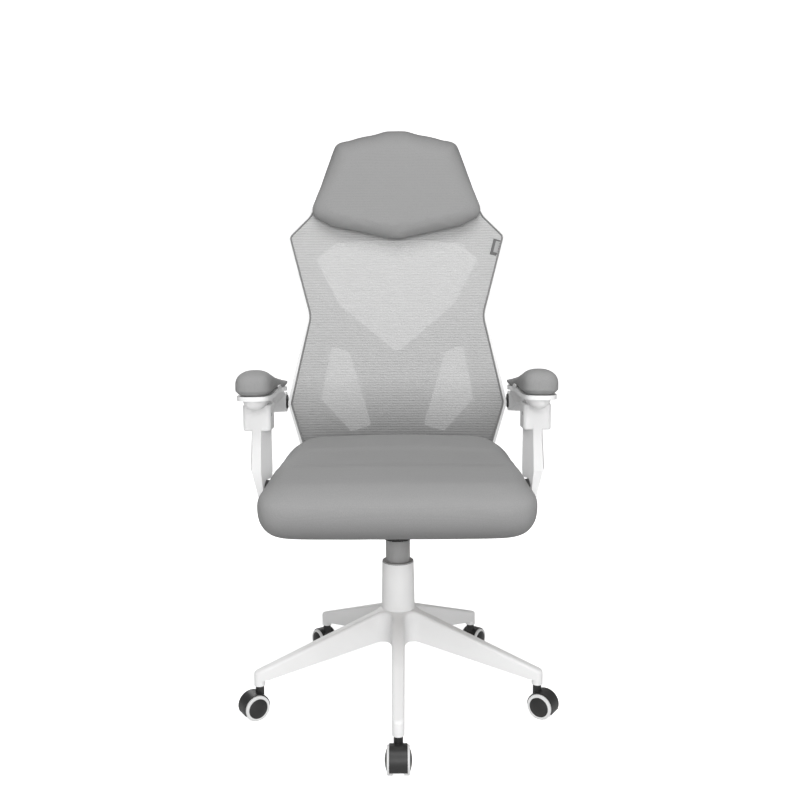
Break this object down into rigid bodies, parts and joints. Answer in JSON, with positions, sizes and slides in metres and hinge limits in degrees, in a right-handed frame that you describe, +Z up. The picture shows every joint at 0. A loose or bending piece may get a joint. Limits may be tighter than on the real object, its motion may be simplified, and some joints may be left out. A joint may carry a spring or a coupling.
{
  "type": "office chair",
  "caption": "High-backed reclining office chair: ribbed mesh back with padded headrest, cushioned seat, linked armrests, gas column and star base on twin-wheel casters.",
  "frame": {"origin": "on the floor, on the swivel column's axis", "axes": "+Z up the column, -Y the way the sitter faces, +X to the sitter's left"},
  "size_m": [0.6358, 0.6572, 1.221],
  "materials": {
    "white_plastic": "satin moulded",
    "black_plastic": "moulded",
    "wheel_white": "smooth",
    "grey_paint": "satin",
    "black_steel": "powder coat",
    "bright_steel": "ground",
    "spring_steel": "drawn wire",
    "bush_plastic": "machined",
    "plywood": "pressed ply",
    "seat_fabric": "woven",
    "mesh_fabric": "ribbed mesh"
  },
  "bodies": {
    "base": {"base_star": "white_plastic", "column_tube": "grey_paint", "column_bush": "bush_plastic", "caster_stems": "bright_steel"},
    "caster_1_swivel": {"caster_1_hood": "black_plastic"},
    "caster_1_wheel": {"caster_1_axle": "bright_steel", "caster_1_wheels": "wheel_white", "caster_1_caps": "black_plastic"},
    "caster_2_swivel": {"caster_2_hood": "black_plastic"},
    "caster_2_wheel": {"caster_2_axle": "bright_steel", "caster_2_wheels": "wheel_white", "caster_2_caps": "black_plastic"},
    "caster_3_swivel": {"caster_3_hood": "black_plastic"},
    "caster_3_wheel": {"caster_3_axle": "bright_steel", "caster_3_wheels": "wheel_white", "caster_3_caps": "black_plastic"},
    "caster_4_swivel": {"caster_4_hood": "black_plastic"},
    "caster_4_wheel": {"caster_4_axle": "bright_steel", "caster_4_wheels": "wheel_white", "caster_4_caps": "black_plastic"},
    "caster_5_swivel": {"caster_5_hood": "black_plastic"},
    "caster_5_wheel": {"caster_5_axle": "bright_steel", "caster_5_wheels": "wheel_white", "caster_5_caps": "black_plastic"},
    "swivel": {"piston_rod": "bright_steel", "thrust_bearing": "bright_steel"},
    "lift": {"pressure_tube": "black_steel", "chassis": "black_steel", "tension_bolt": "bright_steel"},
    "valve": {"valve_pin": "bright_steel"},
    "lever": {"height_lever": "black_plastic"},
    "knob": {"tension_knob": "black_plastic"},
    "seat": {"seat_plate": "black_steel", "tilt_pin": "bright_steel", "tilt_springs": "spring_steel", "seat_board": "plywood", "seat_cushion": "seat_fabric", "seat_bolts": "bright_steel", "side_straps": "black_steel", "arm_foot_pins": "black_steel", "recline_bracket": "black_steel", "recline_pin": "black_steel"},
    "back": {"back_bracket": "white_plastic", "back_support": "white_plastic", "back_frame": "white_plastic", "back_mesh": "mesh_fabric", "headrest_pad": "seat_fabric", "headrest_shell": "white_plastic", "back_screws": "bright_steel", "link_pins": "black_steel"},
    "post_left": {"arm_post_left": "white_plastic", "arm_knuckle_left": "white_plastic", "knuckle_pin_left": "black_steel"},
    "arm_left": {"arm_carrier_left": "white_plastic", "arm_pad_left": "seat_fabric"},
    "post_right": {"arm_post_right": "white_plastic", "arm_knuckle_right": "white_plastic", "knuckle_pin_right": "black_steel"},
    "arm_right": {"arm_carrier_right": "white_plastic", "arm_pad_right": "seat_fabric"}
  },
  "joints": [
    {"name": "caster_1_turn", "type": "hinge", "parent": "base", "child": "caster_1_swivel", "pos_m": [0, -0.29, 0.055], "axis": [0, 0, 1], "continuous": true},
    {"name": "caster_1_roll", "type": "hinge", "parent": "caster_1_swivel", "child": "caster_1_wheel", "pos_m": [0, -0.303, 0.025], "axis": [1, 0, 0], "continuous": true},
    {"name": "caster_2_turn", "type": "hinge", "parent": "base", "child": "caster_2_swivel", "pos_m": [0.27581, -0.08962, 0.055], "axis": [0, 0, 1], "continuous": true},
    {"name": "caster_2_roll", "type": "hinge", "parent": "caster_2_swivel", "child": "caster_2_wheel", "pos_m": [0.28658, -0.09688, 0.025], "axis": [0.5592, 0.829, 0], "continuous": true},
    {"name": "caster_3_turn", "type": "hinge", "parent": "base", "child": "caster_3_swivel", "pos_m": [0.17046, 0.23461, 0.055], "axis": [0, 0, 1], "continuous": true},
    {"name": "caster_3_roll", "type": "hinge", "parent": "caster_3_swivel", "child": "caster_3_wheel", "pos_m": [0.1781, 0.24513, 0.025], "axis": [-0.809, 0.5878, 0], "continuous": true},
    {"name": "caster_4_turn", "type": "hinge", "parent": "base", "child": "caster_4_swivel", "pos_m": [-0.17046, 0.23461, 0.055], "axis": [0, 0, 1], "continuous": true},
    {"name": "caster_4_roll", "type": "hinge", "parent": "caster_4_swivel", "child": "caster_4_wheel", "pos_m": [-0.1781, 0.24513, 0.025], "axis": [-0.809, -0.5878, 0], "continuous": true},
    {"name": "caster_5_turn", "type": "hinge", "parent": "base", "child": "caster_5_swivel", "pos_m": [-0.27581, -0.08962, 0.055], "axis": [0, 0, 1], "continuous": true},
    {"name": "caster_5_roll", "type": "hinge", "parent": "caster_5_swivel", "child": "caster_5_wheel", "pos_m": [-0.28658, -0.09688, 0.025], "axis": [0.5592, -0.829, 0], "continuous": true},
    {"name": "seat_turn", "type": "hinge", "parent": "base", "child": "swivel", "pos_m": [0, 0, 0.2], "axis": [0, 0, 1], "continuous": true},
    {"name": "seat_height", "type": "slide", "parent": "swivel", "child": "lift", "axis": [0, 0, 1], "range_m": [0, 0.08]},
    {"name": "valve_press", "type": "slide", "parent": "lift", "child": "valve", "axis": [0, 0, -1], "range_m": [0, 0.0035], "stiffness_N_per_m": 2000},
    {"name": "lever_lift", "type": "hinge", "parent": "lift", "child": "lever", "pos_m": [-0.04, 0, 0.378], "axis": [0, 1, 0], "range_deg": [0, 5], "stiffness_Nm_per_rad": 6, "springref_deg": -5.73},
    {"name": "knob_turn", "type": "hinge", "parent": "lift", "child": "knob", "pos_m": [0, -0.104, 0.37], "axis": [0, 0, 1], "range_deg": [0, 720]},
    {"name": "seat_tilt", "type": "hinge", "parent": "lift", "child": "seat", "pos_m": [0, -0.06, 0.377], "axis": [-1, 0, 0], "range_deg": [0, 8], "stiffness_Nm_per_rad": 120, "springref_deg": -22.92, "deforming": ["tilt_springs"]},
    {"name": "back_recline", "type": "hinge", "parent": "seat", "child": "back", "pos_m": [0, 0.216, 0.428], "axis": [-1, 0, 0], "range_deg": [0, 35]},
    {"name": "post_lean_left", "type": "hinge", "parent": "seat", "child": "post_left", "pos_m": [0.27, -0.04, 0.428], "axis": [-1, 0, 0], "range_deg": [0, 35]},
    {"name": "arm_level_left", "type": "hinge", "parent": "post_left", "child": "arm_left", "pos_m": [0.28, -0.03, 0.598], "axis": [-1, 0, 0], "range_deg": [-35, 0]},
    {"name": "post_lean_right", "type": "hinge", "parent": "seat", "child": "post_right", "pos_m": [-0.27, -0.04, 0.428], "axis": [-1, 0, 0], "range_deg": [0, 35]},
    {"name": "arm_level_right", "type": "hinge", "parent": "post_right", "child": "arm_right", "pos_m": [-0.28, -0.03, 0.598], "axis": [-1, 0, 0], "range_deg": [-35, 0]}
  ],
  "couplings": [
    {"joint": "valve_press", "follows": "lever_lift", "m_per_rad": 0.04},
    {"joint": "post_lean_left", "follows": "back_recline", "ratio": 1},
    {"joint": "arm_level_left", "follows": "back_recline", "ratio": -1},
    {"joint": "post_lean_right", "follows": "back_recline", "ratio": 1},
    {"joint": "arm_level_right", "follows": "back_recline", "ratio": -1}
  ]
}
